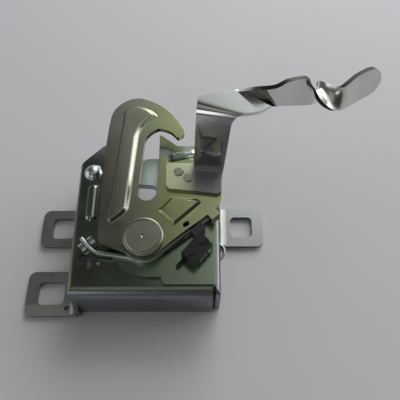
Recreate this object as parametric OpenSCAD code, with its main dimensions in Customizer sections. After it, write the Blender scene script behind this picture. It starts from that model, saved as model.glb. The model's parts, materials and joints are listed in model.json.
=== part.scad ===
// Bonnet latch lying on its mounting plane. A folded base carries a fork claw and its pawl below the floor,
// and a sprung safety hook with a bent pull handle above it. The origin is the striker axis on that plane.

/* [Base sheet] */
// Thickness of the folded base sheet
sheet_t = 2; // [1.6:0.1:2.6]
// Width across the two side flanges
base_w = 65; // [63:1:80]
// Height of the floor's top face above the mounting plane
floor_z = 25; // [22:0.5:34]
// Striker axis to the outer face of the front wall
front_d = 48; // [47:1:60]
// Striker axis to the back edge of the floor
back_d = 25.7; // [24:0.1:32]
// Width of the striker slot in the floor
slot_w = 8.6; // [8:0.1:10]
// Inside radius of the side bends
side_bend_in = 0.4; // [0.2:0.1:3]
// Inside radius of the front bend
front_bend_in = 3; // [1:0.1:6]

/* [Mounting feet] */
// Length of a foot, square to the flange
foot_len = 22; // [20:0.5:28]
// Width of a foot along the flange
foot_w = 20; // [18:0.5:24]
// Square bolt hole across its flats
bolt_hole = 10.6; // [8.5:0.1:12]
// Radius of the bend between a flange and a foot
foot_bend_r = 4.4; // [2:0.1:5]

/* [Pivot plate and main rivet] */
// Thickness of the pivot plate on the floor
plate_t = 2; // [1.5:0.1:3]
// Radius of the main rivet's head
main_head_r = 8.6; // [8:0.1:10]
// Height of the main rivet's head
main_head_h = 2.2; // [1.5:0.1:3]
// Radius of the main rivet's shoulder, which the hook turns on
shoulder_r = 6; // [5:0.1:6.2]

/* [Safety hook] */
// Thickness of the hook plate
hook_t = 2.5; // [2:0.1:3.5]
// Height of the raised panels on the hook
panel_h = 1.3; // [0.6:0.1:1.8]
// Gap between the pivot plate and the hook, which the coil fills
coil_gap = 4.3; // [4.2:0.1:6]
// Wire diameter of the hook spring
hook_wire_d = 1.8; // [1.4:0.1:2]
// Mean radius of the hook spring's coil
hook_coil_r = 8.4; // [8:0.1:9]

/* [Pull handle] */
// Thickness of the handle strip
strip_t = 2; // [1.5:0.1:2.6]
// Height of the handle's flat above its foot
handle_rise = 32; // [28:1:40]

/* [Claw and pawl] */
// Thickness of the claw and the pawl
claw_t = 4; // [3:0.1:5]
// Gap between the floor and the claw, filled by a spacer
spacer_h = 1.3; // [1:0.1:2]
// Radius of the striker's seat in the claw
seat_r = 4.8; // [4.5:0.1:5.2]
// Radius of the claw's rivet
claw_pin_r = 4; // [3:0.1:4.4]
// Radius of the pawl's rivet
pawl_pin_r = 2.6; // [2:0.1:2.8]
// Radius of the release cable's hole in the pawl
cable_hole_r = 1.75; // [1.5:0.05:2]

/* [Switch] */
// Length of the switch
switch_l = 12; // [10:0.5:14]
// Depth of the switch
switch_d = 7.2; // [6:0.1:8]
// Height of the switch above the pivot plate
switch_h = 7.6; // [7.4:0.1:9]

/* [Hidden] */
$fn = 64;
arc_steps = 10;
wire_sides = 10;
// Clearances: a turning fit, a face that turns, and a gap between bodies
turn_fit = 0.05;
face_gap = 0.3;
cut = 0.5;

// Heights, stacked from the floor
floor_under = floor_z - sheet_t;
plate_top = floor_z + plate_t;
hook_z = plate_top + coil_gap;
hook_top = hook_z + hook_t;
claw_top = floor_under - spacer_h - face_gap / 2;
claw_z = claw_top - claw_t;
spring_room = 6;
rivet_low_h = 1.8;
rivet_low_z = claw_z - spring_room;

// Axes in plan
pivot = [0, -25];
claw_axis = [20, 10];
pawl_axis = [-26, 11.2];
half_w = base_w / 2;
inner_w = half_w - sheet_t;

// Plan corners of the floor
corner_cut = 10.4;
horn_tip = [slot_w / 2 + 0.8, back_d + 6];
horn_root = 12.7;
front_corner_r = 4;
side_bend_r = side_bend_in + sheet_t;
front_bend_r = front_bend_in + sheet_t;
flange_slit = 1.4;
flange_short = 1.5;

// Points of an arc through three points, and helpers for outlines and swept solids
function circumcentre(a, b, c) =
    let (d = 2 * (a.x * (b.y - c.y) + b.x * (c.y - a.y) + c.x * (a.y - b.y)),
        sa = a * a,
        sb = b * b,
        sc = c * c)
    [(sa * (b.y - c.y) + sb * (c.y - a.y) + sc * (a.y - b.y)) / d,
        (sa * (c.x - b.x) + sb * (a.x - c.x) + sc * (b.x - a.x)) / d];
function sweep_angle(from, to, ccw) = ccw ? (to - from + 720) % 360 : -((from - to + 720) % 360);
function on_circle(m, r, t) = m + r * [cos(t), sin(t)];
function arc3(a, b, c, n = arc_steps) =
    let (m = circumcentre(a, b, c),
        t0 = atan2(a.y - m.y, a.x - m.x),
        t1 = atan2(c.y - m.y, c.x - m.x),
        sweep = sweep_angle(t0, t1, cross(b - a, c - b) > 0))
    [for (i = [0:n]) on_circle(m, norm(a - m), t0 + sweep * i / n)];
function unit(v) = v / norm(v);
function outward(p, q) = let (d = unit(q - p)) [d.y, -d.x];
function inset(pts, d) =
    let (n = len(pts))
    [for (i = [0:n - 1])
        let (a = outward(pts[(i + n - 1) % n], pts[i]), b = outward(pts[i], pts[(i + 1) % n]))
        pts[i] - d * (a + b) / (1 + a * b)];
function at_z(pts, z) = [for (p = pts) [p.x, p.y, z]];
function bezier(a, b, c, t) = (1 - t) * (1 - t) * a + 2 * t * (1 - t) * b + t * t * c;
function rounded(pts, d, k) =
    let (n = len(pts) - 1)
    [pts[0],
        for (i = [1:n - 1], j = [0:k])
            let (b = pts[i], s = d[i - 1])
            bezier(b + s * unit(pts[i - 1] - b), b, b + s * unit(pts[i + 1] - b), j / k),
        pts[n]];
function catmull(a, b, c, d, t) =
    0.5 * (2 * b + (c - a) * t + (2 * a - 5 * b + 4 * c - d) * t * t + (3 * b - a - 3 * c + d) * t * t * t);
function smooth(pts, k) =
    let (n = len(pts) - 1)
    [for (i = [0:n - 1], j = [0:k - 1])
        catmull(pts[max(i - 1, 0)], pts[i], pts[i + 1], pts[min(i + 2, n)], j / k),
        pts[n]];
function tangent(path, i) = unit(path[min(i + 1, len(path) - 1)] - path[max(i - 1, 0)]);
function wire_ring(p, t, r) =
    let (side = unit(cross(t, [0, 0, 1])), up = cross(side, t))
    [for (k = [0:wire_sides - 1])
        p + r * (cos(k * 360 / wire_sides) * up + sin(k * 360 / wire_sides) * side)];
function strip_ring(p, q, t, thick) =
    let (n = unit(cross(t, p - q)) * thick / 2)
    [p + n, q + n, q - n, p - n];
function helix(centre, r, t0, t1, z0, z1, n) =
    [for (i = [0:n])
        let (s = i / n, c = on_circle(centre, r, t0 + (t1 - t0) * s))
        [c.x, c.y, z0 + (z1 - z0) * s]];

// A closed solid through a row of rings
module skin(rings) {
    n = len(rings[0]);
    last = len(rings) - 1;
    polyhedron(
        [for (r = rings) each r],
        concat(
            [[for (i = [0:n - 1]) i]],
            [[for (i = [0:n - 1]) last * n + n - 1 - i]],
            [for (k = [0:last - 1], i = [0:n - 1], h = [0, 1])
                let (j = (i + 1) % n, a = k * n, b = (k + 1) * n)
                h == 0 ? [a + i, b + i, b + j] : [a + i, b + j, a + j]]
        )
    );
}

// A round wire along a path
module wire(path, d) {
    skin([for (i = [0:len(path) - 1]) wire_ring(path[i], tangent(path, i), d / 2)]);
}

// A bent strip between two edge lines
module strip(p, q, thick) {
    mid = (p + q) / 2;
    skin([for (i = [0:len(p) - 1]) strip_ring(p[i], q[i], tangent(mid, i), thick)]);
}

// A pressed panel with soft sloping sides, sunk a little into the sheet that carries it
slope_steps = 5;
function ease(t) = t * t * (3 - 2 * t);
function shifted(pts, v) = [for (p = pts) p + v];
module panel(pts, h, run, drift = [0, 0]) {
    skin([at_z(pts, -cut),
        for (i = [0:slope_steps]) let (t = i / slope_steps)
            at_z(shifted(inset(pts, run * t), drift * t), h * ease(t))]);
}

// A pressed bead with round ends, lying along X
module bead(size) {
    len = size.x;
    w = size.y;
    h = size.z;
    r = (w * w / 4 + h * h) / (2 * h);
    intersection() {
        translate([0, 0, h - r]) {
            rotate([0, 90, 0]) cylinder(r = r, h = len - w, center = true);
            for (s = [-1, 1]) translate([s * (len - w) / 2, 0, 0]) sphere(r);
        }
        translate([-len, -w, -cut]) cube([2 * len, 2 * w, h + 2 * cut]);
    }
}

// A rectangle with round corners
module round_rect(w, h, r) {
    square([w - 2 * r, h], center = true);
    square([w, h - 2 * r], center = true);
    for (sx = [-1, 1], sy = [-1, 1]) translate([sx * (w / 2 - r), sy * (h / 2 - r)]) circle(r);
}

// A slot with round ends, lying along X
module round_slot(len, w) {
    square([len - w, w], center = true);
    for (s = [-1, 1]) translate([s * (len - w) / 2, 0]) circle(d = w);
}

// The section across one fold: a leg at X = 0, a round bend and a flat top
span = 200;
module fold_section(h, r) {
    translate([0, -cut]) square([span, h - r + cut]);
    translate([r, -cut]) square([span, h + cut]);
    translate([r, h - r]) circle(r);
}
module fold(inward, r) {
    translate([inward, 0, 0]) rotate([90, 0, 0]) linear_extrude(2 * span, center = true)
        fold_section(floor_z - inward, r - inward);
}

// The folded form, drawn once for its outside and once for its inside
module folded_form(inward, plan) {
    intersection() {
        translate([half_w, 0, 0]) mirror([1, 0, 0]) fold(inward, side_bend_r);
        translate([-half_w, 0, 0]) fold(inward, side_bend_r);
        translate([0, -front_d, 0]) rotate(90) fold(inward, front_bend_r);
        linear_extrude(2 * span, center = true) polygon(plan);
    }
}

function corner_points(w, front, r) =
    arc3([-w, r - front], [r * (1 - sqrt(0.5)) - w, r * (1 - sqrt(0.5)) - front], [r - w, -front], 6);
outer_plan = concat(corner_points(half_w, front_d, front_corner_r), [
    [half_w, -front_d],
    [half_w, back_d - corner_cut],
    [half_w - corner_cut, back_d],
    [horn_root, back_d],
    horn_tip,
    [-horn_tip.x, horn_tip.y],
    [-horn_root, back_d],
    [corner_cut - half_w, back_d],
    [-half_w, back_d - corner_cut]]);
inner_plan = concat(corner_points(inner_w, front_d - sheet_t, front_corner_r - sheet_t), [
    [inner_w, sheet_t - front_d],
    [inner_w, 2 * back_d],
    [-inner_w, 2 * back_d]]);

// Feet as side, centre along the flange, length, width and hole length
FEET = [
    [1, -6.8, foot_len, foot_w, bolt_hole],
    [-1, -7.5, foot_len - 0.8, foot_w - 0.8, bolt_hole],
    [-1, -40, foot_len + 2, foot_w + 0.8, bolt_hole + 1.6]];
foot_corner_r = 3.6;
hole_corner_r = 2.2;
hole_edge_d = 5.3;
foot_root = 0.6;
bend_end = 0.6;
relief_at = [-half_w - 4.6, -47];
relief_r = 1.2;

// One foot: a flat plate bent out from the flange's lower edge
module foot(f) {
    hole_x = f[2] - hole_edge_d - f[4] / 2;
    translate([f[0] * half_w, f[1], 0]) mirror([f[0] < 0 ? 1 : 0, 0, 0]) {
        difference() {
            translate([f[2] / 2 - foot_corner_r, 0, 0])
                linear_extrude(sheet_t) round_rect(f[2] + 2 * foot_corner_r, f[3], foot_corner_r);
            translate([-f[2] - foot_root, -f[3], -cut]) cube([f[2], 2 * f[3], sheet_t + 2 * cut]);
            translate([hole_x, 0, -cut])
                linear_extrude(sheet_t + 2 * cut) round_rect(f[4], bolt_hole, hole_corner_r);
        }
        rotate([90, 0, 0]) linear_extrude(f[3] - 2 * bend_end, center = true)
            difference() {
                translate([-foot_root, 0]) square([foot_root + foot_bend_r, sheet_t + foot_bend_r]);
                translate([foot_bend_r, sheet_t + foot_bend_r]) circle(foot_bend_r);
            }
    }
}

// The left flange's lower end, which runs on past the front wall to the foot's edge
tab_front = FEET[2][1] - FEET[2][3] / 2 + bend_end;
tab_back = front_corner_r - front_d;
tab_low = 5;
module flange_tab() {
    translate([-half_w, 0, 0]) rotate([90, 0, 90]) linear_extrude(sheet_t) polygon(concat(
        [[tab_back, 0]],
        arc3([tab_back, floor_z - side_bend_r], [tab_back - 3.4, floor_z / 2], [tab_front, tab_low], 8),
        [[tab_front, 0]]));
}

// Spring anchor: two lanced fingers beside the window that they were cut from
anchor_mid = [-24.2, -26.4];
anchor_angle = -46;
finger_gap = 2.6;
finger_len = 6.4;
finger_top = plate_t + coil_gap - 0.9;
window_size = [7.5, 3.4];
window_shift = [3.6, -5.2];
window_r = 1.4;
module anchor_place() {
    translate([anchor_mid.x, anchor_mid.y, floor_z]) rotate(anchor_angle) children();
}
module anchor_finger(side) {
    translate([0, side * (finger_gap + sheet_t) / 2, 0]) {
        translate([-finger_len / 2, -sheet_t / 2, -sheet_t / 2])
            cube([finger_len, sheet_t, finger_top + (sheet_t - finger_len) / 2]);
        translate([0, 0, finger_top - finger_len / 2]) rotate([90, 0, 0])
            cylinder(d = finger_len, h = sheet_t, center = true);
    }
}

// Small marks: dots in the front wall, a pip and two beads on the floor, a slot for the claw spring
wall_dots = [-20.6, -17.3];
wall_dot_z = 14;
wall_dot_r = 0.8;
pip_at = [-19.3, -33];
pip_r = 1.4;
pip_sunk = 0.6;
left_bead = [-25, -4.2];
left_bead_size = [18.6, 5, 1];
back_bead = [15.6, back_d - 5.5];
back_bead_size = [14, 5.4, 1.4];
back_bead_angle = 13;
loop_slot_y = [-30.4, -15];
loop_z = rivet_low_z + rivet_low_h + 2.6;
loop_slot_h = 3;

module base_plate() {
    color("lightsteelblue") difference() {
        union() {
            difference() {
                folded_form(0, outer_plan);
                folded_form(sheet_t, inner_plan);
            }
            for (f = FEET) foot(f);
            flange_tab();
            translate([left_bead.x, left_bead.y, floor_z]) rotate(90) bead(left_bead_size);
            translate([back_bead.x, back_bead.y, floor_z]) rotate(back_bead_angle) bead(back_bead_size);
            anchor_place() for (s = [-1, 1]) anchor_finger(s);
            translate([pip_at.x, pip_at.y, floor_z - pip_sunk]) sphere(pip_r);
        }
        translate([-base_w, -2 * front_d, -floor_z]) cube([2 * base_w, 3 * front_d, floor_z]);
        translate([0, 0, floor_under - cut]) linear_extrude(sheet_t + 2 * cut) {
            circle(d = slot_w);
            translate([-slot_w / 2, 0]) square([slot_w, 2 * back_d]);
            translate(pivot) circle(main_pin_r + turn_fit);
            translate(claw_axis) circle(claw_pin_r + turn_fit);
            translate(pawl_axis) circle(pawl_pin_r + turn_fit);
            for (p = switch_pin_at) translate(p) circle(switch_pin_r + turn_fit);
        }
        anchor_place() translate([window_shift.x, window_shift.y, -sheet_t - cut])
            linear_extrude(sheet_t + 2 * cut) round_rect(window_size.x, window_size.y, window_r);
        translate([inner_w - flange_slit, -front_d - cut, -cut])
            cube([flange_slit, front_bend_r + cut, floor_z + 2 * cut]);
        translate([inner_w - cut, -front_d - cut, -cut])
            cube([sheet_t + 2 * cut, flange_short + cut, floor_z + 2 * cut]);
        translate([relief_at.x, relief_at.y, -cut]) cylinder(r = relief_r, h = sheet_t + 2 * cut);
        for (x = wall_dots) translate([x, -front_d, wall_dot_z]) rotate([90, 0, 0])
            cylinder(r = wall_dot_r, h = 4 * sheet_t, center = true);
        translate([inner_w - cut, loop_slot_y[0], loop_z - loop_slot_h / 2])
            cube([sheet_t + 2 * cut, loop_slot_y[1] - loop_slot_y[0], loop_slot_h]);
    }
}

// Pivot plate: an arc about the pivot on the left, a square apron under the switch on the right
apron_x = 8.8;
apron_right = half_w - side_bend_r;
apron_front = front_bend_r - front_d;
plate_outline = concat(
    arc3([-18.6, -17], [-10.2, -35], [7, -39.7], 16),
    [[apron_x, apron_front], [apron_right, apron_front], [apron_right, -11], [10, -10], [-12, -10]]);
main_pin_r = 4.5;
module pivot_plate() {
    color("darkkhaki") translate([0, 0, floor_z]) linear_extrude(plate_t) difference() {
        polygon(plate_outline);
        translate(pivot) circle(main_pin_r + turn_fit);
        for (p = switch_pin_at) translate(p) circle(switch_pin_r + turn_fit);
    }
}

// Main rivet, turned about the hook's axis, with a ringed head
head_z = hook_top + face_gap;
ring_groove_r = 7.2;
ring_groove_d = 0.35;
main_tail_r = 7;
main_tail_h = 2;
head_round = 0.9;
dimple_r = 1.1;
dimple_up = 0.6;
module main_rivet() {
    color("silver") translate([pivot.x, pivot.y, 0]) rotate_extrude($fn = 96) difference() {
        union() {
            translate([0, floor_under - main_tail_h]) square([main_tail_r, main_tail_h]);
            translate([0, floor_under - cut]) square([main_pin_r, plate_top - floor_under + 2 * cut]);
            translate([0, plate_top]) square([shoulder_r, head_z - plate_top]);
            translate([0, head_z]) square([main_head_r, main_head_h - head_round]);
            translate([0, head_z]) square([main_head_r - head_round, main_head_h]);
            translate([main_head_r - head_round, head_z + main_head_h - head_round]) circle(head_round);
        }
        translate([ring_groove_r, head_z + main_head_h]) circle(ring_groove_d);
        translate([0, head_z + main_head_h + dimple_up]) circle(dimple_r);
        translate([-main_head_r, 0]) square([main_head_r, 3 * floor_z]);
    }
}

// Bush on the rivet's shoulder that keeps the coil round
bush_wall = 0.8;
module pivot_bush() {
    color("dimgray") translate([pivot.x, pivot.y, plate_top]) difference() {
        cylinder(r = shoulder_r + turn_fit + bush_wall, h = coil_gap - face_gap);
        translate([0, 0, -cut]) cylinder(r = shoulder_r + turn_fit, h = coil_gap + 2 * cut);
    }
}

// Safety hook outline: left edge, round back, beak, striker slot, right arm, lobe and eye
hook_slot = [0.5, -3.6];
hook_slot_r = 4;
arm_right = [33, -3.4];
lobe_end = [31.9, -10.4];
lobe_low = [16.5, -22.5];
hook_eye_r = 9.2;
hook_outline = concat(
    [[-17.8, -27.6], [-19.3, -23], [-19.3, 21.2], [-18.8, 30]],
    arc3([-18.4, 34], [-15, 42.8], [-6.2, 47.2]),
    arc3([-4.5, 47.1], [6, 42.1], [14.6, 31.8]),
    arc3([15.6, 30], [16.2, 26.6], [14, 24.6], 6),
    arc3([13, 24.9], [9.4, 28.3], [5.2, 29.6]),
    arc3([4.4, 29.6], [0.2, 26.6], [-1.9, 20.6]),
    arc3([hook_slot.x - hook_slot_r, hook_slot.y], hook_slot - [0, hook_slot_r],
        [hook_slot.x + hook_slot_r, hook_slot.y], 16),
    [[5.8, 15.5], [8.2, 15.6], [9.4, 11.2], [17.8, 13.2], [24, 13.6], [32, 6]],
    [arm_right, [33, -6.6], lobe_end, lobe_low],
    arc3(pivot + hook_eye_r * [cos(-30), sin(-30)], pivot - [0, hook_eye_r],
        pivot + hook_eye_r * [cos(-136), sin(-136)], 16));
arm_panel = concat(
    arc3([-12.2, 36.6], [-11.2, 40.6], [-6.8, 42.4], 6),
    arc3([-5.6, 42.4], [-1, 40.9], [3.8, 36.7], 6),
    arc3([2.2, 35.2], [-2, 31], [-4.6, 24.4], 5),
    [[-6.8, -11.4], [-8.4, -14], [-13.8, -18.6], [-16, -17.4]]);
lobe_panel = [[5.2, -12.6], [10.9, -6], [22.6, -6.8], [24.6, -8.8], [12.6, -19.9]];
panel_run = 1.6;
panel_drift = [-0.7, 0];
lobe_dir = unit(lobe_end - lobe_low);
lobe_angle = atan2(lobe_dir.y, lobe_dir.x);
lug_along = 15.6;
lug_w = 4.6;
lug_out = 2.9;
lug_drop = 3.2;
lug_t = 1.6;
eyelet_along = 3.4;
eyelet_in = 2.2;
eyelet_size = [3.2, 2];
module on_lobe_edge(along) {
    p = lobe_low + along * lobe_dir;
    translate([p.x, p.y, 0]) rotate(lobe_angle) children();
}
function reversed(pts) = [for (i = [len(pts) - 1:-1:0]) pts[i]];
module safety_hook() {
    color("darkkhaki") difference() {
        union() {
            translate([0, 0, hook_z]) linear_extrude(hook_t) polygon(hook_outline);
            translate([0, 0, hook_top]) panel(reversed(arm_panel), panel_h, panel_run, panel_drift);
            translate([0, 0, hook_top]) panel(reversed(lobe_panel), panel_h, panel_run);
            on_lobe_edge(lug_along) {
                translate([-lug_w / 2, -lug_out, hook_z]) cube([lug_w, lug_out + cut, hook_t]);
                translate([-lug_w / 2, -lug_out, hook_z - lug_drop]) cube([lug_w, lug_t, lug_drop + hook_t]);
            }
        }
        translate([pivot.x, pivot.y, hook_z - cut])
            cylinder(r = shoulder_r + turn_fit, h = hook_t + 2 * cut);
        on_lobe_edge(eyelet_along) translate([0, eyelet_in, hook_z - cut])
            linear_extrude(hook_t + 2 * cut) round_slot(eyelet_size.x, eyelet_size.y);
        for (p = handle_rivet_at) translate([p.x, p.y, hook_z - cut])
            cylinder(r = handle_rivet_r + turn_fit, h = hook_t + 2 * cut);
    }
}

// Pull handle: foot on the hook, upright arm, flat top, then a strip that turns on edge and twists over
handle_rivet_at = [[14.3, 5.6], [18.6, 2.6]];
handle_rivet_r = 1.5;
pad_z = hook_top + strip_t / 2;
top_z = pad_z + handle_rise;
foot_corner = 2.4;
handle_foot = concat(
    [[8.7, 10]],
    arc3([8.9, foot_corner - 2.8], [9.6, -2.2], [8.9 + foot_corner, -2.9], 5),
    [[20.8, -3.8], [31.2, -5.2], [33, -4], [33.2, 6], [20.8, 6.4], [20.6, 10]]);
// Left and right edges of the arm, and how far each bend runs back from its corner
arm_left = [[20.8, 3, pad_z], [20.9, 8.6, pad_z],
    [22.4, 16.4, top_z], [22.9, 22, top_z], [37.2, 25.2, top_z]];
arm_right_edge = [[33.2, 2, pad_z], [34.2, 8, pad_z],
    [36.6, 13, top_z], [44.4, 14.2, top_z], [47.4, 14.8, top_z]];
left_bends = [3.2, 4.4, 1];
right_bends = [3.2, 5.4, 0.5];
bend_steps = 8;
// Edge lines of the strip, as height above the flat top: back or upper edge, then front or lower edge.
// The third pair is the crease where the strip folds up on edge.
strip_p = [[37.2, 25.2, 0], [37.9, 25.4, 0], [38.4, 25.5, 0.1], [40, 24.7, 1.4], [45, 22.5, 5.3],
    [52.2, 19.8, 9.6], [57, 21.4, 11.2], [62.6, 22.7, 11.4], [64.6, 22, 11.6], [65.8, 20, 11],
    [67.1, 17.5, 9.4], [69.6, 14.8, 6.8], [73.6, 13.4, 4.2], [76.4, 14, 2.8], [79.4, 15.8, 1.2], [82.6, 18.8, -0.4],
    [87.5, 22.6, -1.6], [92, 25.4, -1.4]];
strip_q = [[47.4, 14.8, 0], [50.6, 16.8, 0], [52.2, 18, 0], [52.8, 18.4, -0.1], [54, 19, -0.5],
    [55.4, 19.5, -0.9], [58, 19.8, -1.2], [64, 20, -1.2], [68.4, 20.4, -1.2], [71, 22.2, -1], [71.2, 25.8, 0.4],
    [70.2, 26.6, 3.6], [72.6, 24, 6.2], [75.4, 21.6, 7.8], [77.6, 20.2, 9], [79.4, 21, 9.6],
    [84, 25, 10], [88.6, 27.6, 10.4]];
strip_steps = 5;
pad_end = 5.6;
pad_steps = 6;
tip_sweep = 84;
bead_size = [9.6, 11.4];
bead_depth = 0.7;
bead_corner_r = 2.8;
bead_at = [28.4, 10.25, pad_z + 14.6];
bead_lean = 11.4;
bead_turn = -7;
function lift(pts, z) = [for (p = pts) p + [0, 0, z]];
function corner_rect(w, h, r) =
    [for (i = [0:3], j = [0:3])
        let (sx = [1, -1, -1, 1][i], sy = [1, 1, -1, -1][i], t = i * 90 + j * 30)
        [sx * (w / 2 - r), sy * (h / 2 - r)] + r * [cos(t), sin(t)]];
module arm_bead(behind) {
    translate(bead_at) rotate([0, 0, bead_turn]) rotate([-90 - bead_lean, 0, 0]) translate([0, 0, behind])
        panel(corner_rect(bead_size.x, bead_size.y, bead_corner_r), bead_depth, bead_depth);
}
function but_last(pts) = [for (i = [0:len(pts) - 2]) pts[i]];
function edge_line(arm, bends, edge) =
    concat(but_last(rounded(arm, bends, bend_steps)), smooth(lift(edge, top_z), strip_steps));
module handle_strip() {
    p = edge_line(arm_left, left_bends, strip_p);
    q = edge_line(arm_right_edge, right_bends, strip_q);
    n = len(p) - 1;
    mid = (p[n] + q[n]) / 2;
    half = (p[n] - q[n]) / 2;
    along = tangent((p + q) / 2, n);
    tip = [for (i = [1:pad_steps])
        let (a = tip_sweep * i / pad_steps)
        [mid + along * pad_end * sin(a), half * cos(a)]];
    strip(concat(p, [for (s = tip) s[0] + s[1]]), concat(q, [for (s = tip) s[0] - s[1]]), strip_t);
}
module pull_handle() {
    color("gainsboro") difference() {
        union() {
            translate([0, 0, hook_top]) linear_extrude(strip_t) polygon(handle_foot);
            handle_strip();
            arm_bead(strip_t);
        }
        arm_bead(0);
        for (p = handle_rivet_at) translate([p.x, p.y, hook_top - cut])
            cylinder(r = handle_rivet_r + turn_fit, h = strip_t + 2 * cut);
    }
}

// Two low rivets that join the handle to the hook
handle_head_r = 2.2;
handle_head_h = 0.5;
head_taper = 0.4;
module handle_rivets() {
    color("silver") for (p = handle_rivet_at) translate([p.x, p.y, 0]) {
        translate([0, 0, hook_z - handle_head_h]) cylinder(r = handle_head_r, h = handle_head_h);
        translate([0, 0, hook_z - handle_head_h])
            cylinder(r = handle_rivet_r, h = hook_t + strip_t + 2 * handle_head_h);
        translate([0, 0, hook_top + strip_t])
            cylinder(r1 = handle_head_r, r2 = handle_head_r - head_taper, h = handle_head_h);
    }
}

// Hook spring: anchored end, left leg, coil round the bush, right leg to the hook's lug
coil_low = plate_top + hook_wire_d / 2 + 0.1;
coil_pitch = hook_wire_d + 0.05;
left_tangent = 250;
right_tangent = 308;
leg_z = coil_low + coil_pitch * (360 + right_tangent - left_tangent) / 360;
coil_start = [-6.9, -31.5];
end_l = 4.5;
end_lift = 0.6;
heel_run = 1.6;
leg_past_lug = 4;
module hook_spring() {
    end_dir = [cos(anchor_angle), sin(anchor_angle)];
    tail = anchor_mid - end_l * end_dir;
    heel = anchor_mid + end_l * end_dir;
    leg_far = lobe_low + (lug_along + leg_past_lug) * lobe_dir + 0.1 * [lobe_dir.y, -lobe_dir.x];
    left_leg = rounded([
        [tail.x, tail.y, coil_low + end_lift],
        [heel.x, heel.y, coil_low + end_lift],
        [coil_start.x, coil_start.y, coil_low]], [heel_run], 5);
    right_leg = [[leg_far.x, leg_far.y, leg_z]];
    coil = helix(pivot, hook_coil_r, left_tangent, 360 + right_tangent, coil_low, leg_z, 60);
    color("slategray") wire(concat(left_leg, coil, right_leg), hook_wire_d);
}

// Rivets below the floor: an upper head on the floor, a shank, and a lower head that holds the spring
module lower_rivet(axis, r, low_r) {
    translate([axis.x, axis.y, rivet_low_z]) {
        cylinder(r = low_r, h = rivet_low_h);
        cylinder(r = r, h = floor_z - rivet_low_z + cut);
    }
}
head_step = 0.2;
dome_r = 4.2;
dome_h = 2.6;
module pawl_rivet() {
    ball_r = (dome_r * dome_r + dome_h * dome_h) / (2 * dome_h);
    color("silver") {
        lower_rivet(pawl_axis, pawl_pin_r, pawl_boss_r - head_step);
        translate([pawl_axis.x, pawl_axis.y, floor_z]) intersection() {
            translate([0, 0, dome_h - ball_r]) sphere(ball_r);
            cylinder(r = dome_r, h = dome_h);
        }
    }
}
claw_head_r = 6.4;
claw_head_h = 1.5;
module claw_rivet() {
    color("silver") {
        lower_rivet(claw_axis, claw_pin_r, claw_boss_r - 3 * head_step);
        translate([claw_axis.x, claw_axis.y, floor_z]) cylinder(r = claw_head_r, h = claw_head_h);
    }
}
module spacer(axis, r, wall) {
    color("dimgray") translate([axis.x, axis.y, floor_under - spacer_h]) difference() {
        cylinder(r = r + turn_fit + wall, h = spacer_h);
        translate([0, 0, -cut]) cylinder(r = r + turn_fit, h = spacer_h + 2 * cut);
    }
}
pawl_spacer_wall = 1.4;
claw_spacer_wall = 2.2;
module pawl_spacer() spacer(pawl_axis, pawl_pin_r, pawl_spacer_wall);
module claw_spacer() spacer(claw_axis, claw_pin_r, claw_spacer_wall);

// Fork claw: beak over the striker, seat open to the left, lower prong that the pawl stops
claw_boss_r = 8.2;
seat = [0, 1.4];
prong_tip = [-7.6, -6.6];
claw_pin_at = [9, 4];
spring_pin_r = 1.1;
spring_pin_h = 3;
claw_outline = concat(
    arc3(claw_axis + [0, claw_boss_r], claw_axis + [claw_boss_r, 0], claw_axis + [-3, -7.63], 16),
    [[9, -8.4]],
    arc3([3, -9.8], [-3, -10.2], prong_tip, 6),
    [[-6.4, seat.y - seat_r], [seat.x, seat.y - seat_r]],
    arc3([seat.x, seat.y - seat_r], [seat.x + seat_r, seat.y], [seat.x, seat.y + seat_r], 14),
    [[-7, seat.y + seat_r + 0.6]],
    arc3([-8.6, 8.4], [-8.4, 14], [-3.4, 19.6], 8),
    arc3([-1, 20.6], [6, 20], [12, 17.4], 6));
module claw() {
    color("lightgray") difference() {
        union() {
            translate([0, 0, claw_z]) linear_extrude(claw_t) polygon(claw_outline);
            translate([claw_pin_at.x, claw_pin_at.y, claw_z - spring_pin_h])
                cylinder(r = spring_pin_r, h = spring_pin_h + cut);
        }
        translate([claw_axis.x, claw_axis.y, claw_z - cut])
            cylinder(r = claw_pin_r + turn_fit, h = claw_t + 2 * cut);
    }
}

// Pawl: a strut that stops the lower prong, and a short arm for the release cable
pawl_boss_r = 4.2;
strut_end = [-10.8, -5.5];
strut_w = 6;
cable_at = [-19.5, 21.5];
cable_eye_r = 3.6;
pawl_pin_at = [-20.4, 10.2];
function side_step(a, b, d) = d * outward(a, b);
module bar(a, b, wa, wb) {
    polygon([
        a + side_step(a, b, wa / 2),
        b + side_step(a, b, wb / 2),
        b - side_step(a, b, wb / 2),
        a - side_step(a, b, wa / 2)]);
}
module pawl() {
    color("lightgray") difference() {
        union() {
            translate([0, 0, claw_z]) linear_extrude(claw_t) {
                translate(pawl_axis) circle(pawl_boss_r);
                translate(cable_at) circle(cable_eye_r);
                bar(pawl_axis, strut_end, 2 * pawl_boss_r, strut_w);
                bar(pawl_axis, cable_at, 2 * pawl_boss_r - 1, 2 * cable_eye_r - 1);
            }
            translate([pawl_pin_at.x, pawl_pin_at.y, claw_z - spring_pin_h])
                cylinder(r = spring_pin_r, h = spring_pin_h + cut);
        }
        translate([pawl_axis.x, pawl_axis.y, claw_z - cut])
            cylinder(r = pawl_pin_r + turn_fit, h = claw_t + 2 * cut);
        translate([cable_at.x, cable_at.y, claw_z - cut]) cylinder(r = cable_hole_r, h = claw_t + 2 * cut);
    }
}

// Torsion springs below the claw and the pawl, each with a leg on the base and a leg on a pin
claw_wire_d = 1.4;
claw_coil_r = 5.4;
pawl_wire_d = 1.1;
pawl_coil_r = 3.5;
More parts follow.
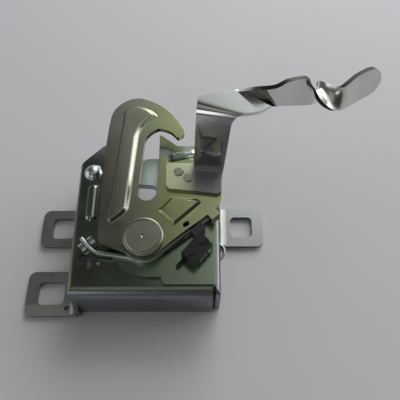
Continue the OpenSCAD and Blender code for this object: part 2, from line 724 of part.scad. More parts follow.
// The loop of the claw spring through the right flange, as distance out from the flange and along it
claw_loop = [[-2.9, -29.2], [-0.2, -28.7], [2, -26], [1.7, -22.6], [-1, -20.2], [-3.4, -16]];
spring_gap = 0.4;
spring_low = rivet_low_z + rivet_low_h + spring_gap / 2;
module claw_spring() {
    low = spring_low + claw_wire_d / 2;
    high = claw_z - spring_gap - claw_wire_d / 2;
    loop = smooth([for (p = claw_loop) [half_w + p.x, p.y, loop_z]], 4);
    coil = helix(claw_axis, claw_coil_r, 0, 360 * 2 + 165, low, high, 60);
    pin_leg = [[claw_pin_at.x + 0.3, claw_pin_at.y - 4.4, high]];
    color("slategray") wire(concat(loop, coil, pin_leg), claw_wire_d);
}
module pawl_spring() {
    low = spring_low + pawl_wire_d / 2;
    high = claw_z - spring_gap - pawl_wire_d / 2;
    fixed_leg = [[pawl_axis.x - pawl_coil_r - 0.1, pawl_axis.y + 6.4, low]];
    coil = helix(pawl_axis, pawl_coil_r, 180, 180 + 360 * 2 + 95, low, high, 60);
    pin_leg = [[pawl_pin_at.x + 2.4, pawl_pin_at.y - spring_pin_r - pawl_wire_d / 2 - 0.2, high]];
    color("slategray") wire(concat(fixed_leg, coil, pin_leg), pawl_wire_d);
}

// Switch on the pivot plate, turned so that its long side faces the hook's lobe
switch_mid = [22.5, -29.5];
switch_angle = 48.5;
switch_pin_r = 1.1;
switch_pin_u = 3.4;
pin_head_r = 1.7;
pin_head_h = 0.8;
pin_proud = 0.4;
tail_l = 4.5;
tail_w = 1.4;
tail_h = 2.2;
notch_w = 2.6;
notch_h = 1.6;
switch_u = [cos(switch_angle), sin(switch_angle)];
switch_v = [-sin(switch_angle), cos(switch_angle)];
switch_pin_at = [for (s = [-1, 1]) switch_mid + s * switch_pin_u * switch_u];
cover_d = 3.3;
cover_foot_d = 1.5;
cover_u = [3.4, 9.4];
cover_l = cover_u[1] - cover_u[0];
plunger_u = 6.4;
plunger_r = 1.2;
plunger_z = hook_z + hook_t / 2;
cover_h = plunger_z + plunger_r - plate_top + 0.7;
plunger_start = switch_mid + plunger_u * switch_u + switch_d / 2 * switch_v;
lobe_out = [lobe_dir.y, -lobe_dir.x];
plunger_reach = ((plunger_start - lobe_low) * lobe_out) / -(switch_v * lobe_out);
plunger_back = 0.2;
plunger_l = plunger_reach - face_gap - plunger_back - plunger_r;
module on_switch() {
    translate([switch_mid.x, switch_mid.y, plate_top]) rotate(switch_angle) children();
}
module switch_body() {
    color([0.06, 0.06, 0.07]) on_switch() difference() {
        union() {
            translate([-switch_l / 2, -switch_d / 2, 0]) cube([switch_l, switch_d, switch_h]);
            translate([-switch_l / 2 - tail_l, switch_d / 2 - tail_h, 0]) cube([tail_l + cut, tail_w, tail_h]);
        }
        for (s = [-1, 1]) translate([s * switch_pin_u, 0, -cut])
            cylinder(r = switch_pin_r + turn_fit, h = switch_h + 2 * cut);
        translate([switch_l / 2 - notch_w, -switch_d / 2 - cut, switch_h - notch_h])
            cube([notch_w + cut, notch_w, notch_h + cut]);
        for (x = terminal_u) translate([x - terminal_w / 2, -switch_d / 2 - cut, terminal_z])
            cube([terminal_w, terminal_in + cut, terminal_t]);
    }
}
module switch_cover() {
    color([0.2, 0.21, 0.22]) on_switch() difference() {
        union() {
            translate([cover_u[0], switch_d / 2, 0]) cube([cover_l, cover_foot_d, cover_h]);
            translate([cover_u[0], switch_d / 2, coil_gap]) cube([cover_l, cover_d, cover_h - coil_gap]);
        }
        translate([plunger_u, switch_d / 2 - cut, plunger_z - plate_top]) rotate([-90, 0, 0])
            cylinder(r = plunger_r + turn_fit, h = cover_d + 2 * cut);
    }
}
module switch_plunger() {
    color("black") translate([plunger_start.x, plunger_start.y, plunger_z]) rotate(switch_angle)
        translate([0, plunger_back, 0]) rotate([-90, 0, 0]) {
            cylinder(r = plunger_r, h = plunger_l);
            translate([0, 0, plunger_l]) sphere(plunger_r);
        }
}
terminal_u = [-1.9, 0.7, 3.3];
terminal_w = 2;
terminal_t = 0.6;
terminal_in = 1.2;
terminal_out = 0.7;
terminal_z = 3.6;
module switch_terminals() {
    color("gold") on_switch() for (x = terminal_u)
        translate([x - terminal_w / 2, -switch_d / 2 - terminal_out, terminal_z])
            cube([terminal_w, terminal_in + terminal_out, terminal_t]);
}
module switch_pins() {
    low = floor_under - pin_head_h;
    color("dimgray") for (p = switch_pin_at) translate([p.x, p.y, low]) {
        cylinder(r = pin_head_r, h = pin_head_h);
        cylinder(r = switch_pin_r, h = plate_top + switch_h - low + pin_proud);
    }
}

base_plate();
pivot_plate();
main_rivet();
pivot_bush();
safety_hook();
pull_handle();
handle_rivets();
hook_spring();
pawl_rivet();
pawl_spacer();
pawl();
pawl_spring();
claw_rivet();
claw_spacer();
claw();
claw_spring();
switch_body();
switch_cover();
switch_plunger();
switch_terminals();
switch_pins();
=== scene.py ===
"""Looks for a zinc plated bonnet latch: finishes, rounded edges, camera and light."""

import json
import math

import bmesh
import bpy
from bpy.props import FloatProperty, FloatVectorProperty, PointerProperty
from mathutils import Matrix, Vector


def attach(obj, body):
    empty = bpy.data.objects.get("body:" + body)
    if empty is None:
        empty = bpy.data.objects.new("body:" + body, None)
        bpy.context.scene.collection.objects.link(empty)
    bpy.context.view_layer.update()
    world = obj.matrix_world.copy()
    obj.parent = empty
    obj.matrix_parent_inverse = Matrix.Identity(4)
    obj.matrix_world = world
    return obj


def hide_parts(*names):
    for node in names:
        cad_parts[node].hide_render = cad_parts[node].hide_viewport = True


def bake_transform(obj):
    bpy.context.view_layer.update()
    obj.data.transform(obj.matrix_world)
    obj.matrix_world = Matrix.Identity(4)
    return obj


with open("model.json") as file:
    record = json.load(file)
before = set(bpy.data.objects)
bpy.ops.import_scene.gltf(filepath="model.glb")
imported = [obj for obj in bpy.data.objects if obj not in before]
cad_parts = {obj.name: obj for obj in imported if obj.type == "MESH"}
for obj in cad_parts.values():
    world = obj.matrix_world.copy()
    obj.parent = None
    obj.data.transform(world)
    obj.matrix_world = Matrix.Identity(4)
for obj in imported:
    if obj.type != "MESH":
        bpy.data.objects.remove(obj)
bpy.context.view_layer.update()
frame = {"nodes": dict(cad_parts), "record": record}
BODY_OF = {node: body for body, nodes in frame["record"]["behaviour"]["bodies"].items() for node in nodes}

bl_info = {
    "name": "Bonnet Latch Looks",
    "version": (1, 0, 0),
    "blender": (4, 5, 0),
    "location": "View3D > Sidebar > Latch",
    "description": "Finishes and stage for a zinc plated bonnet latch",
    "category": "Object",
}

# The axes of the frame. Lengths below are in metres.
ACROSS, ALONG, UP = 0, 1, 2

# For each spring, the body that its moving leg follows, and where the winding of its coil starts and ends
WINDING = {
    "hook_spring": ("hook", (-0.0084, -0.025, 0.029), (0.0084, -0.025, 0.029)),
    "claw_spring": ("claw", (0.026, 0.010, 0.0155), (0.014, 0.010, 0.0155)),
    "pawl_spring": ("pawl", (-0.026, 0.0112, 0.01465), (-0.026, 0.0112, 0.01605)),
}

# Where along X the handle's strip stands on edge, and where it twists
STRIP_START = 0.047
TWIST = (0.0635, 0.0825)
# The longest edge of a face on the strip's sheared edges in the twist, and how level such a face is elsewhere
SHEARED_LENGTH = 0.0035
SHEARED_LEVEL = 0.8
# How many cuts split the twist across the strip, and how often their points are smoothed
TWIST_CUTS = 7
TWIST_PASSES = 8

# Points this close are one point, and faces this flat to each other are one face
MERGE_WITHIN = 1e-6
FLAT_WITHIN = math.radians(0.3)
# Edges sharper than this are rounded over
ROUND_FROM = math.radians(32.0)
# Edges sharper than this are hard in shading, on most pieces and on the handle
HARD_FROM = math.radians(60.0)
HANDLE_HARD_FROM = math.radians(35.0)

# Each metal finish: the colour of its clouds, its roughness, the strength of its grain, and its painted edge
# shade.
# That darkens upright faces: how bright they stay, then how level a face is where the shade starts to fade
# and ends.
METALS = {
    "Zinc sheet": ((0.29, 0.37, 0.27), 0.18, 0.02, (0.6, 0.5, 0.97)),
    "Olive zinc": ((0.47, 0.56, 0.27), 0.19, 0.02, (0.4, 0.15, 0.6)),
    "Green zinc": ((0.36, 0.46, 0.31), 0.20, 0.02, (0.15, 0.6, 0.97)),
    "Bright zinc": ((0.68, 0.69, 0.65), 0.12, 0.01, None),
    # Painted shade: this near-black finish darkens the handle's cut edges.
    "Shaded cut edge": ((0.04, 0.038, 0.036), 0.45, 0.02, None),
    "Rivet steel": ((0.38, 0.42, 0.31), 0.24, 0.02, (0.5, 0.15, 0.6)),
    "Turned steel": ((0.33, 0.36, 0.27), 0.34, 0.035, (0.5, 0.15, 0.6)),
    "Dome rivet": ((0.66, 0.72, 0.74), 0.26, 0.03, None),
    "Claw steel": ((0.60, 0.68, 0.64), 0.40, 0.05, None),
    "Spring wire": ((0.41, 0.45, 0.44), 0.34, 0.05, None),
    "Tinned brass": ((0.58, 0.56, 0.50), 0.20, 0.10, None),
}
# How dark the clouds are in a part of a piece that has another colour
CLOUD_TONE = 0.88
# The roughness of each plastic
PLASTICS = {"Black plastic": 0.42, "Grey plastic": 0.45}
# How far the grain of metal and the texture of plastic stand out at full strength
GRAIN_DEPTH = 0.0002
SPARK_DEPTH = 0.0001
SPARK_STRENGTH = 0.15
# The main rivet's axis in X and Y, its tool marks' spacing, and their height as a multiple of the grain's
RIVET_AXIS = (0.0, -0.025)
RING_PITCH = 0.0011
RING_HEIGHT = 4.0

# The room's soft bright patches: how bright each is, then its sides. Each side is an axis, where the patch
# starts along it, and where it is full.
WINDOWS = {
    "right": (0.7, [(ACROSS, 0.5, 0.66), (UP, 0.75, 0.6), (ALONG, 0.05, 0.2)]),
    "right pane": (1.2, [(ACROSS, 0.74, 0.82), (UP, 0.62, 0.5), (ALONG, 0.2, 0.3)]),
    "front": (1.2, [(ACROSS, -0.2, -0.3), (ACROSS, -0.5, -0.42), (ALONG, -0.9, -0.82), (ALONG, -0.55, -0.65),
                    (UP, 0.2, 0.35)]),
    "left": (0.9, [(ACROSS, -0.76, -0.86), (ALONG, -0.6, -0.45), (ALONG, 0.35, 0.2), (UP, 0.05, 0.2)]),
    "overhead": (0.2, [(UP, 0.82, 0.92), (ALONG, 0.16, 0.04), (ALONG, -0.45, -0.3)]),
    "horizon": (0.3, [(UP, 0.16, 0.06)]),
}
# How bright the room is everywhere, behind on the right, and on the left
DIM, BRIGHT_SIDE, LEFT_SIDE = 0.03, 0.6, 0.045
# How far right and left are turned to the back, and where each side fades in
SIDE_TURN = 0.4
BRIGHT_FADE, BACK_FADE, LEFT_FADE = (-0.015, 0.33), (0.0, 0.22), (-0.20, -0.08)
# The light of the room's dim and bright places, and how bright those are
DIM_LIGHT = (1.0, 0.94, 0.88, 1)
BRIGHT_LIGHT = (0.97, 1.0, 1.02, 1)
LIGHT_LEVELS = (0.05, 0.5)

# The table, the lamp behind the latch, and the camera, whose sensor is in millimetres
TABLE_HALF = 2.0
TABLE_GAP = 0.0002
TABLE_ROUGHNESS = 0.7
KEY_PLACE = (0.26, 0.62, 0.43)
KEY_TARGET = (0.0, 0.0, 0.02)
KEY_SIZE = 0.5
CAMERA_TARGET = (0.0237, 0.0091, 0.0)
SENSOR_WIDTH = 36.0
CLIP_NEAR, CLIP_FAR = 0.01, 20.0


def tint(name, description, default):
    """A colour that the user can change."""
    return FloatVectorProperty(name=name, description=description, default=default, subtype="COLOR", size=3,
                               min=0.0, max=1.0)


class LatchFinishes(bpy.types.PropertyGroup):
    """Colours of the latch's pieces and the rounding of their edges"""
    zinc: tint("Zinc floor", "Colour of the base's floor", (0.35, 0.41, 0.34))
    # Painted shade: the right flange's colour is darker than the floor of the same sheet.
    flange: tint("Right flange", "Colour of the base's right flange", (0.27, 0.28, 0.27))
    # Painted reflection: the front wall's colour is lighter and bluer than the floor of the same sheet.
    wall: tint("Front wall", "Colour of the base's front wall", (0.40, 0.42, 0.47))
    # Painted reflection: the back edge's colour is lighter than the rest of the floor.
    back: tint("Back edge", "Colour of the back of the base's floor", (0.56, 0.62, 0.56))
    feet: tint("Zinc feet", "Colour of the base's feet", (0.53, 0.55, 0.53))
    # Painted highlight: the lanced fingers' colour is near white.
    fingers: tint("Lanced fingers", "Colour of the base's fingers round the spring's end", (0.90, 0.93, 0.98))
    olive: tint("Olive zinc", "Colour of the hook", (0.54, 0.59, 0.33))
    hook_arm: tint("Hook arm", "Colour of the hook's arm", (0.53, 0.54, 0.46))
    green: tint("Green zinc", "Colour of the plate under the hook", (0.40, 0.51, 0.37))
    bright: tint("Bright zinc", "Colour of the pull handle", (0.74, 0.76, 0.73))
    pad: tint("Handle foot", "Colour of the handle's riveted foot", (0.57, 0.60, 0.39))
    # Painted shade: the upright arm's colour is much darker than the handle's own zinc.
    arm: tint("Upright arm", "Colour of the handle's upright arm", (0.37, 0.36, 0.375))
    # Painted highlight: the scoop's colour is near white, lighter than the handle's own zinc.
    scoop: tint("Scoop", "Colour of the handle's twist", (0.97, 0.97, 0.95))
    # Painted highlight: the grip's colour is lighter than the handle's own zinc.
    grip: tint("Grip", "Colour of the handle's grip", (0.86, 0.86, 0.83))
    # Painted shade: the cut edges' colour is near black.
    shaded_cut: tint("Shaded cut edge", "Colour of the handle's cut edges", (0.05, 0.048, 0.045))
    rivet: tint("Rivet steel", "Colour of the handle's rivets", (0.42, 0.46, 0.34))
    turned: tint("Turned steel", "Colour of the main rivet's ringed head", (0.37, 0.40, 0.30))
    dome: tint("Dome rivet", "Colour of the claw's and the pawl's rivets", (0.80, 0.86, 0.92))
    claw: tint("Claw steel", "Colour of the claw and the pawl", (0.70, 0.77, 0.74))
    wire: tint("Spring wire", "Colour of the springs", (0.47, 0.51, 0.48))
    black: tint("Black plastic", "Colour of the switch", (0.006, 0.006, 0.007))
    grey: tint("Grey plastic", "Colour of the switch's cover", (0.022, 0.024, 0.025))
    brass: tint("Tinned brass", "Colour of the switch's terminals", (0.66, 0.65, 0.60))
    edge: FloatProperty(name="Edge", description="Width of the rounding on sheet edges", default=0.0003,
                        min=0.0, unit="LENGTH")


class LatchStage(bpy.types.PropertyGroup):
    """Camera, table and light"""
    lens: FloatProperty(name="Lens", description="Focal length", default=44.46, min=10.0, unit="CAMERA")
    distance: FloatProperty(name="Distance", description="Camera to the point it looks at", default=0.252,
                            unit="LENGTH")
    elevation: FloatProperty(name="Elevation", description="Camera's height angle",
                             default=math.radians(64.0), subtype="ANGLE")
    floor: tint("Floor", "Colour of the table", (0.75, 0.74, 0.77))
    room: FloatProperty(name="Room light", description="Strength of the room's light", default=1.0, min=0.0)
    key: FloatProperty(name="Key light", description="Power of the lamp behind the latch", default=2.9,
                       unit="POWER")


def new_group(name, sockets):
    """An empty shader node group with the given input and output sockets."""
    group = bpy.data.node_groups.new(name, "ShaderNodeTree")
    for title, side, kind, value in sockets:
        socket = group.interface.new_socket(title, in_out=side, socket_type=kind)
        if value is not None:
            socket.default_value = value
    return group, group.nodes.new("NodeGroupInput"), group.nodes.new("NodeGroupOutput")


def new_material(name):
    """An empty material, with its tree, its shader and its coordinates."""
    material = bpy.data.materials.new(name)
    material.use_nodes = True
    tree = material.node_tree
    return material, tree, tree.nodes["Principled BSDF"], tree.nodes.new("ShaderNodeTexCoord").outputs


def noise(tree, vector, scale, detail, rough=0.5):
    """A noise texture on the given coordinates."""
    node = tree.nodes.new("ShaderNodeTexNoise")
    node.inputs["Scale"].default_value = scale
    node.inputs["Detail"].default_value = detail
    node.inputs["Roughness"].default_value = rough
    tree.links.new(vector, node.inputs["Vector"])
    return node.outputs["Fac"]


def remap(tree, value, low, high, out_low, out_high, kind="LINEAR"):
    """A value moved from one range to another and held inside it."""
    node = tree.nodes.new("ShaderNodeMapRange")
    node.interpolation_type = kind
    for socket, number in zip(("From Min", "From Max", "To Min", "To Max"), (low, high, out_low, out_high)):
        node.inputs[socket].default_value = number
    tree.links.new(value, node.inputs["Value"])
    return node.outputs["Result"]


def ramp(tree, value, start, full):
    """A soft rise from none at one value to full at another."""
    return remap(tree, value, start, full, 0.0, 1.0, "SMOOTHSTEP")


def combine(tree, kind, a, b=0.0):
    """A math node on one or two values."""
    node = tree.nodes.new("ShaderNodeMath")
    node.operation = kind
    for socket, value in zip(node.inputs, (a, b)):
        if isinstance(value, (int, float)):
            socket.default_value = value
        else:
            tree.links.new(value, socket)
    return node.outputs["Value"]


def blend_colour(tree, factor, a, b, kind="MIX"):
    """Two colours joined by a mix node."""
    node = tree.nodes.new("ShaderNodeMix")
    node.data_type = "RGBA"
    node.blend_type = kind
    for socket, value in ((node.inputs[0], factor), (node.inputs[6], a), (node.inputs[7], b)):
        if isinstance(value, (int, float, tuple)):
            socket.default_value = value
        else:
            tree.links.new(value, socket)
    return node.outputs[2]


def axes(tree, vector):
    """The three parts of a vector."""
    node = tree.nodes.new("ShaderNodeSeparateXYZ")
    tree.links.new(vector, node.inputs["Vector"])
    return node.outputs


def raise_surface(tree, shader, height, strength, depth):
    """Lets a height stand out on a surface."""
    bump = tree.nodes.new("ShaderNodeBump")
    bump.inputs["Strength"].default_value = strength
    bump.inputs["Distance"].default_value = depth
    tree.links.new(height, bump.inputs["Height"])
    tree.links.new(bump.outputs["Normal"], shader.inputs["Normal"])


def plating_group():
    """Zinc plating: soft clouds, fine crystals, rolling scratches, a few dark specks and brown stains."""
    group, inside, outside = new_group("Plating", [
        ("Vector", "INPUT", "NodeSocketVector", None),
        ("Tint", "INPUT", "NodeSocketColor", (0.4, 0.4, 0.4, 1)),
        ("Cloud Tint", "INPUT", "NodeSocketColor", (0.3, 0.3, 0.25, 1)),
        ("Roughness", "INPUT", "NodeSocketFloat", 0.4),
        ("Color", "OUTPUT", "NodeSocketColor", None),
        ("Roughness", "OUTPUT", "NodeSocketFloat", None),
        ("Height", "OUTPUT", "NodeSocketFloat", None),
    ])
    crystal_tone = (0.62, 0.64, 0.60, 1)
    scratch_tone = (0.75, 0.76, 0.74, 1)
    speck_tone = (0.10, 0.09, 0.07, 1)
    stain_tone = (0.86, 0.72, 0.56, 1)

    vector = inside.outputs["Vector"]
    clouds = remap(group, noise(group, vector, scale=70.0, detail=4.0, rough=0.6), 0.35, 0.68, 0.0, 1.0)
    crystals = noise(group, vector, scale=900.0, detail=3.0, rough=0.6)
    stretch = group.nodes.new("ShaderNodeMapping")
    stretch.inputs["Scale"].default_value = (60.0, 1500.0, 400.0)
    stretch.inputs["Rotation"].default_value = (0.0, 0.0, 0.5)
    group.links.new(vector, stretch.inputs["Vector"])
    lines = noise(group, stretch.outputs["Vector"], scale=1.0, detail=2.0)
    scratches = remap(group, lines, 0.62, 0.78, 0.0, 1.0)
    specks = remap(group, noise(group, vector, scale=420.0, detail=2.0), 0.72, 0.80, 0.0, 0.35)
    stains = remap(group, noise(group, vector, scale=45.0, detail=3.0, rough=0.65), 0.54, 0.74, 0.0, 0.36)

    colour = blend_colour(group, clouds, inside.outputs["Tint"], inside.outputs["Cloud Tint"])
    sparkle = remap(group, crystals, 0.3, 0.7, 0.0, 0.08)
    colour = blend_colour(group, sparkle, colour, crystal_tone, "MULTIPLY")
    colour = blend_colour(group, combine(group, "MULTIPLY", scratches, 0.12), colour, scratch_tone, "SCREEN")
    colour = blend_colour(group, specks, colour, speck_tone)
    colour = blend_colour(group, stains, colour, stain_tone, "MULTIPLY")
    group.links.new(colour, outside.inputs["Color"])

    rough = combine(group, "ADD", inside.outputs["Roughness"], remap(group, clouds, 0.0, 1.0, -0.04, 0.05))
    rough = combine(group, "ADD", rough, remap(group, crystals, 0.3, 0.7, -0.015, 0.02))
    group.links.new(rough, outside.inputs["Roughness"])

    height = combine(group, "MULTIPLY", combine(group, "SUBTRACT", crystals, scratches), 0.5)
    group.links.new(height, outside.inputs["Height"])
    return group


def tool_marks(tree, place):
    """Rings round the main rivet's axis, as a height."""
    pairs = zip(axes(tree, place), RIVET_AXIS)
    offsets = [combine(tree, "SUBTRACT", value, centre) for value, centre in pairs]
    squares = [combine(tree, "POWER", offset, 2.0) for offset in offsets]
    radius = combine(tree, "SQRT", combine(tree, "ADD", *squares))
    rings = combine(tree, "SINE", combine(tree, "MULTIPLY", radius, 2 * math.pi / RING_PITCH))
    return combine(tree, "MULTIPLY", rings, RING_HEIGHT)


def plated(name, base, parts=(), ringed=False):
    """A plated metal from the table of metals, in the given colour.

    Each of parts is an axis, where another colour ends and where the base colour begins along it, that other
    colour, and how much rougher it is. A ringed metal has tool marks round the main rivet's axis.
    """
    cloud, roughness, grain, shaded_edges = METALS[name]
    material, tree, shader, coords = new_material(name)
    place = coords["Object"]
    plating = tree.nodes.new("ShaderNodeGroup")
    plating.node_tree = bpy.data.node_groups.get("Plating") or plating_group()
    tree.links.new(place, plating.inputs["Vector"])
    main, clouded = (*base, 1), (*cloud, 1)
    plating.inputs["Tint"].default_value = main
    plating.inputs["Cloud Tint"].default_value = clouded
    plating.inputs["Roughness"].default_value = roughness
    colour, rough, height = (plating.outputs[title] for title in ("Color", "Roughness", "Height"))
    for axis, ends, begins, other, rougher in parts:
        first = ramp(tree, axes(tree, place)[axis], ends, begins)
        main = blend_colour(tree, first, (*other, 1), main)
        clouded = blend_colour(tree, first, (*(CLOUD_TONE * part for part in other), 1), clouded)
        tree.links.new(main, plating.inputs["Tint"])
        tree.links.new(clouded, plating.inputs["Cloud Tint"])
        rough = combine(tree, "ADD", rough, remap(tree, first, 0.0, 1.0, rougher, 0.0))
    if ringed:
        height = combine(tree, "ADD", height, tool_marks(tree, place))
    # Painted shade: upright faces and steep bevels are darkened by the metal's shaded edges.
    if shaded_edges:
        brightness, upright, flat = shaded_edges
        level = combine(tree, "ABSOLUTE", axes(tree, coords["Normal"])[UP])
        shade = remap(tree, level, upright, flat, brightness, 1.0, "SMOOTHSTEP")
        tone = tree.nodes.new("ShaderNodeCombineColor")
        for socket in tone.inputs:
            tree.links.new(shade, socket)
        colour = blend_colour(tree, 1.0, colour, tone.outputs["Color"], "MULTIPLY")
    tree.links.new(colour, shader.inputs["Base Color"])
    tree.links.new(rough, shader.inputs["Roughness"])
    shader.inputs["Metallic"].default_value = 1.0
    raise_surface(tree, shader, height, grain, GRAIN_DEPTH)
    return material


def moulded(name, base):
    """A moulded plastic from the table of plastics, with a fine spark texture and light dust."""
    dust_tone = (0.16, 0.16, 0.15, 1)
    roughness = PLASTICS[name]
    material, tree, shader, coords = new_material(name)
    place = coords["Object"]
    dust = remap(tree, noise(tree, place, scale=260.0, detail=4.0, rough=0.65), 0.5, 0.75, 0.0, 0.04)
    spark = noise(tree, place, scale=2600.0, detail=2.0)
    rough = remap(tree, spark, 0.3, 0.7, roughness - 0.08, roughness + 0.1)
    tree.links.new(blend_colour(tree, dust, (*base, 1), dust_tone), shader.inputs["Base Color"])
    tree.links.new(rough, shader.inputs["Roughness"])
    raise_surface(tree, shader, spark, SPARK_STRENGTH, SPARK_DEPTH)
    return material


def dress(material, *names):
    """Gives CAD nodes a finish."""
    for name in names:
        mesh = frame["nodes"][name].data
        mesh.materials.clear()
        mesh.materials.append(material)


def longest(face):
    """The length of a face's longest edge."""
    return max(edge.calc_length() for edge in face.edges)


def in_twist(point):
    """Whether a point lies where the handle's strip twists."""
    return TWIST[0] < point.x < TWIST[1]


def mark_cuts(work):
    """Gives the cut edges of the handle's strip the second material, painted near black as shade, from where
    it stands on edge.
    """
    for face in work.faces:
        middle = face.calc_center_median()
        if in_twist(middle):
            shaded_cut = longest(face) < SHEARED_LENGTH
        else:
            shaded_cut = abs(face.normal.z) > SHEARED_LEVEL
        if shaded_cut and middle.x > STRIP_START:
            face.material_index = 1


def ease_twist(work):
    """Splits the long triangles of the handle's twist across the strip and smooths it to one curved sheet."""
    wide = [face for face in work.faces
            if in_twist(face.calc_center_median()) and longest(face) > SHEARED_LENGTH]
    bmesh.ops.join_triangles(work, faces=wide, cmp_materials=True, angle_face_threshold=math.pi,
                             angle_shape_threshold=math.pi)
    across = [edge for edge in work.edges
              if edge.calc_length() > 2 * SHEARED_LENGTH and all(in_twist(vert.co) for vert in edge.verts)]
    split = bmesh.ops.subdivide_edges(work, edges=across, cuts=TWIST_CUTS, use_grid_fill=True)
    middle = [item for item in split["geom_inner"] if isinstance(item, bmesh.types.BMVert)]
    for _ in range(TWIST_PASSES):
        bmesh.ops.smooth_vert(work, verts=middle, factor=0.5, use_axis_x=True, use_axis_y=True,
                              use_axis_z=True)


def refine(material, names, round_over, hard_from=HARD_FROM, cut=None):
    """Makes a smooth copy of each CAD node to stand for it.

    Its sharp edges are rounded over if a width is given. Cut is the material painted near black as shade on
    the handle's cut edges.
    """
    for name in names:
        work = bmesh.new()
        work.from_mesh(frame["nodes"][name].data)
        bmesh.ops.remove_doubles(work, verts=work.verts, dist=MERGE_WITHIN)
        if round_over:
            bmesh.ops.dissolve_limit(work, angle_limit=FLAT_WITHIN, verts=work.verts, edges=work.edges)
            sharp = [edge for edge in work.edges
                     if len(edge.link_faces) == 2 and edge.calc_face_angle(0.0) > ROUND_FROM]
            bmesh.ops.bevel(work, geom=sharp, offset=round_over, offset_type="OFFSET", affect="EDGES",
                            segments=2, profile=0.5, clamp_overlap=True, material=-1)
        if cut:
            mark_cuts(work)
            ease_twist(work)
        for face in work.faces:
            face.smooth = True
        for edge in work.edges:
            edge.smooth = len(edge.link_faces) == 2 and edge.calc_face_angle(0.0) < hard_from
        mesh = bpy.data.meshes.new(name + "_skin")
        mesh.materials.append(material)
        if cut:
            mesh.materials.append(cut)
        work.to_mesh(mesh)
        work.free()
        old_normals = mesh.attributes.get("custom_normal")
        if old_normals:
            mesh.attributes.remove(old_normals)
        piece = bpy.data.objects.new(name + "_skin", mesh)
        bpy.context.scene.collection.objects.link(piece)
        if round_over:
            flats = piece.modifiers.new("Flat faces", "WEIGHTED_NORMAL")
            flats.keep_sharp = True
        if name in WINDING:
            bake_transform(piece)
        else:
            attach(piece, BODY_OF[name])
        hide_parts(name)


class LATCH_OT_base(bpy.types.Operator):
    """Finishes the folded base sheet"""
    bl_idname = "latch.base"
    bl_label = "Base Sheet"

    def execute(self, context):
        looks = context.scene.latch_finishes
        zinc = plated("Zinc sheet", looks.zinc, [
            # Painted shade: the right flange and its bend are darker than the floor of the same sheet.
            (ACROSS, 0.0310, 0.0285, looks.flange, 0.05),
            # Painted reflection: the front wall is lighter and bluer than the floor of the same sheet.
            (ALONG, -0.0462, -0.0445, looks.wall, 0.12),
            # Painted reflection: the back of the floor is lighter than the rest of it.
            (ALONG, 0.024, 0.016, looks.back, 0.05),
            (UP, 0.002, 0.007, looks.feet, 0.12),
            # Painted highlight: the lanced fingers round the spring's end are near white.
            (UP, 0.0274, 0.0262, looks.fingers, 0.02),
        ])
        refine(zinc, ["base_plate"], looks.edge)
        return {"FINISHED"}


class LATCH_OT_hook(bpy.types.Operator):
    """Finishes the safety hook and the plate under it"""
    bl_idname = "latch.hook"
    bl_label = "Safety Hook"

    def execute(self, context):
        looks = context.scene.latch_finishes
        olive = plated("Olive zinc", looks.olive, [(ACROSS, -0.014, 0.012, looks.hook_arm, 0.0)])
        refine(olive, ["safety_hook"], looks.edge)
        refine(plated("Green zinc", looks.green), ["pivot_plate"], looks.edge)
        return {"FINISHED"}


class LATCH_OT_handle(bpy.types.Operator):
    """Finishes the pull handle"""
    bl_idname = "latch.handle"
    bl_label = "Pull Handle"

    def execute(self, context):
        looks = context.scene.latch_finishes
        bright = plated("Bright zinc", looks.bright, [
            # Painted shade: the upright arm is darker than the rest of the handle.
            (ALONG, 0.0125, 0.0150, looks.arm, 0.2),
            # Painted highlight: the twist is near white.
            (ACROSS, 0.0695, 0.0675, looks.scoop, 0.12),
            # Painted highlight: the grip is lighter than the rest of the handle.
            (ACROSS, 0.0805, 0.0785, looks.grip, 0.08),
            (ACROSS, 0.0190, 0.0222, looks.pad, 0.16),
        ])
        # Painted shade: the handle's cut edges are near black.
        shaded_cut = plated("Shaded cut edge", looks.shaded_cut)
        refine(bright, ["pull_handle"], 0.0, HANDLE_HARD_FROM, shaded_cut)
        return {"FINISHED"}


class LATCH_OT_rivets(bpy.types.Operator):
    """Finishes the rivets"""
    bl_idname = "latch.rivets"
    bl_label = "Rivets"

    def execute(self, context):
        looks = context.scene.latch_finishes
        dress(plated("Rivet steel", looks.rivet), "handle_rivets")
        dress(plated("Turned steel", looks.turned, ringed=True), "main_rivet")
        dress(plated("Dome rivet", looks.dome), "pawl_rivet", "claw_rivet")
        return {"FINISHED"}


class LATCH_OT_claw(bpy.types.Operator):
    """Finishes the claw and the pawl"""
    bl_idname = "latch.claw"
    bl_label = "Claw and Pawl"

    def execute(self, context):
        looks = context.scene.latch_finishes
        refine(plated("Claw steel", looks.claw), ["claw", "pawl"], looks.edge)
        return {"FINISHED"}


class LATCH_OT_springs(bpy.types.Operator):
    """Finishes the springs"""
    bl_idname = "latch.springs"
    bl_label = "Springs"

    def execute(self, context):
        looks = context.scene.latch_finishes
        refine(plated("Spring wire", looks.wire), ["hook_spring", "claw_spring", "pawl_spring"], 0.0)
        return {"FINISHED"}


class LATCH_OT_switch(bpy.types.Operator):
    """Finishes the switch, the bush and the spacers"""
    bl_idname = "latch.switch"
    bl_label = "Switch"

    def execute(self, context):
        looks = context.scene.latch_finishes
        black = moulded("Black plastic", looks.black)
        refine(black, ["switch_body"], looks.edge)
        dress(black, "switch_plunger", "switch_pins")
        grey = moulded("Grey plastic", looks.grey)
        refine(grey, ["switch_cover"], looks.edge)
        dress(grey, "pivot_bush", "claw_spacer", "pawl_spacer")
        dress(plated("Tinned brass", looks.brass), "switch_terminals")
        return {"FINISHED"}


def stand(scene, name, data, place, target):
    """Puts a lamp or camera somewhere in the scene, looking at a point."""
    obj = bpy.data.objects.new(name, data)
    scene.collection.objects.link(obj)
    obj.location = place
    obj.rotation_euler = (Vector(target) - Vector(place)).to_track_quat("-Z", "Y").to_euler()
    return obj


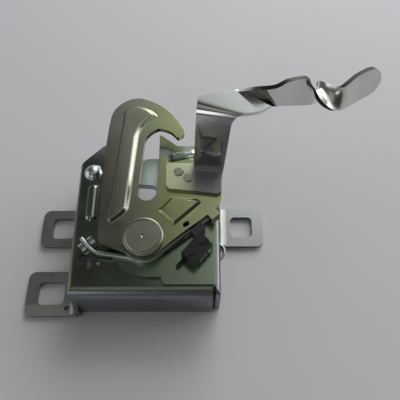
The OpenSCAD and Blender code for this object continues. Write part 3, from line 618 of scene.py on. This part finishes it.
def room(scene, strength):
    """A plain room: bright behind on the right, dim elsewhere, with soft windows."""
    world = bpy.data.worlds.new("Room")
    world.use_nodes = True
    tree = world.node_tree
    view = axes(tree, tree.nodes.new("ShaderNodeTexCoord").outputs["Generated"])
    side = combine(tree, "ADD", view[ACROSS], combine(tree, "MULTIPLY", view[ALONG], SIDE_TURN))
    behind = ramp(tree, view[ALONG], *BACK_FADE)
    bright = combine(tree, "MULTIPLY", remap(tree, side, *BRIGHT_FADE, 0.0, BRIGHT_SIDE), behind)
    left = remap(tree, side, *LEFT_FADE, LEFT_SIDE, 0.0)
    level = combine(tree, "ADD", combine(tree, "ADD", bright, left), DIM)
    for pane, sides in WINDOWS.values():
        for axis, start, full in sides:
            pane = combine(tree, "MULTIPLY", ramp(tree, view[axis], start, full), pane)
        level = combine(tree, "ADD", level, pane)
    light = blend_colour(tree, remap(tree, level, *LIGHT_LEVELS, 0.0, 1.0), DIM_LIGHT, BRIGHT_LIGHT)
    glow = tree.nodes["Background"]
    tree.links.new(light, glow.inputs["Color"])
    tree.links.new(combine(tree, "MULTIPLY", level, strength), glow.inputs["Strength"])
    scene.world = world


def table(scene, colour):
    """A plain table top under the latch."""
    work = bmesh.new()
    bmesh.ops.create_grid(work, x_segments=1, y_segments=1, size=TABLE_HALF)
    bmesh.ops.translate(work, verts=work.verts, vec=(0, 0, -TABLE_GAP))
    mesh = bpy.data.meshes.new("Table")
    work.to_mesh(mesh)
    work.free()
    top = bpy.data.materials.new("Table top")
    top.use_nodes = True
    shader = top.node_tree.nodes["Principled BSDF"]
    shader.inputs["Base Color"].default_value = (*colour, 1)
    shader.inputs["Roughness"].default_value = TABLE_ROUGHNESS
    mesh.materials.append(top)
    obj = bpy.data.objects.new("Table", mesh)
    scene.collection.objects.link(obj)


class LATCH_OT_stage(bpy.types.Operator):
    """Lays the table, lights it and places the camera"""
    bl_idname = "latch.stage"
    bl_label = "Stage"

    def execute(self, context):
        scene = context.scene
        stage = scene.latch_stage
        table(scene, stage.floor)
        room(scene, stage.room)
        key = bpy.data.lights.new("Key", "AREA")
        key.size = KEY_SIZE
        key.energy = stage.key
        stand(scene, "Key", key, KEY_PLACE, KEY_TARGET)
        scene.view_settings.view_transform = "Standard"
        lens = bpy.data.cameras.new("Camera")
        lens.sensor_width = SENSOR_WIDTH
        lens.lens = stage.lens
        lens.clip_start = CLIP_NEAR
        lens.clip_end = CLIP_FAR
        target = Vector(CAMERA_TARGET)
        away = Vector((0.0, -math.cos(stage.elevation), math.sin(stage.elevation))) * stage.distance
        scene.camera = stand(scene, "Camera", lens, target + away, target)
        return {"FINISHED"}


class LATCH_PT_panel(bpy.types.Panel):
    """Lists the latch's pieces"""
    bl_idname = "LATCH_PT_panel"
    bl_label = "Bonnet Latch"
    bl_space_type = "VIEW_3D"
    bl_region_type = "UI"
    bl_category = "Latch"

    def draw(self, context):
        for operator in OPERATORS:
            self.layout.operator(operator.bl_idname)
        for group in (context.scene.latch_finishes, context.scene.latch_stage):
            for name in group.__annotations__:
                self.layout.prop(group, name)


OPERATORS = (LATCH_OT_base, LATCH_OT_hook, LATCH_OT_handle, LATCH_OT_rivets, LATCH_OT_claw, LATCH_OT_springs,
             LATCH_OT_switch, LATCH_OT_stage)
CLASSES = (LatchFinishes, LatchStage, *OPERATORS, LATCH_PT_panel)


def register():
    for cls in CLASSES:
        bpy.utils.register_class(cls)
    bpy.types.Scene.latch_finishes = PointerProperty(type=LatchFinishes)
    bpy.types.Scene.latch_stage = PointerProperty(type=LatchStage)


def unregister():
    del bpy.types.Scene.latch_stage
    del bpy.types.Scene.latch_finishes
    for cls in reversed(CLASSES):
        bpy.utils.unregister_class(cls)


def main():
    register()
    bpy.ops.latch.base()
    bpy.ops.latch.hook()
    bpy.ops.latch.handle()
    bpy.ops.latch.rivets()
    bpy.ops.latch.claw()
    bpy.ops.latch.springs()
    bpy.ops.latch.switch()
    bpy.ops.latch.stage()
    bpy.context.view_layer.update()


if __name__ == "__main__":
    main()
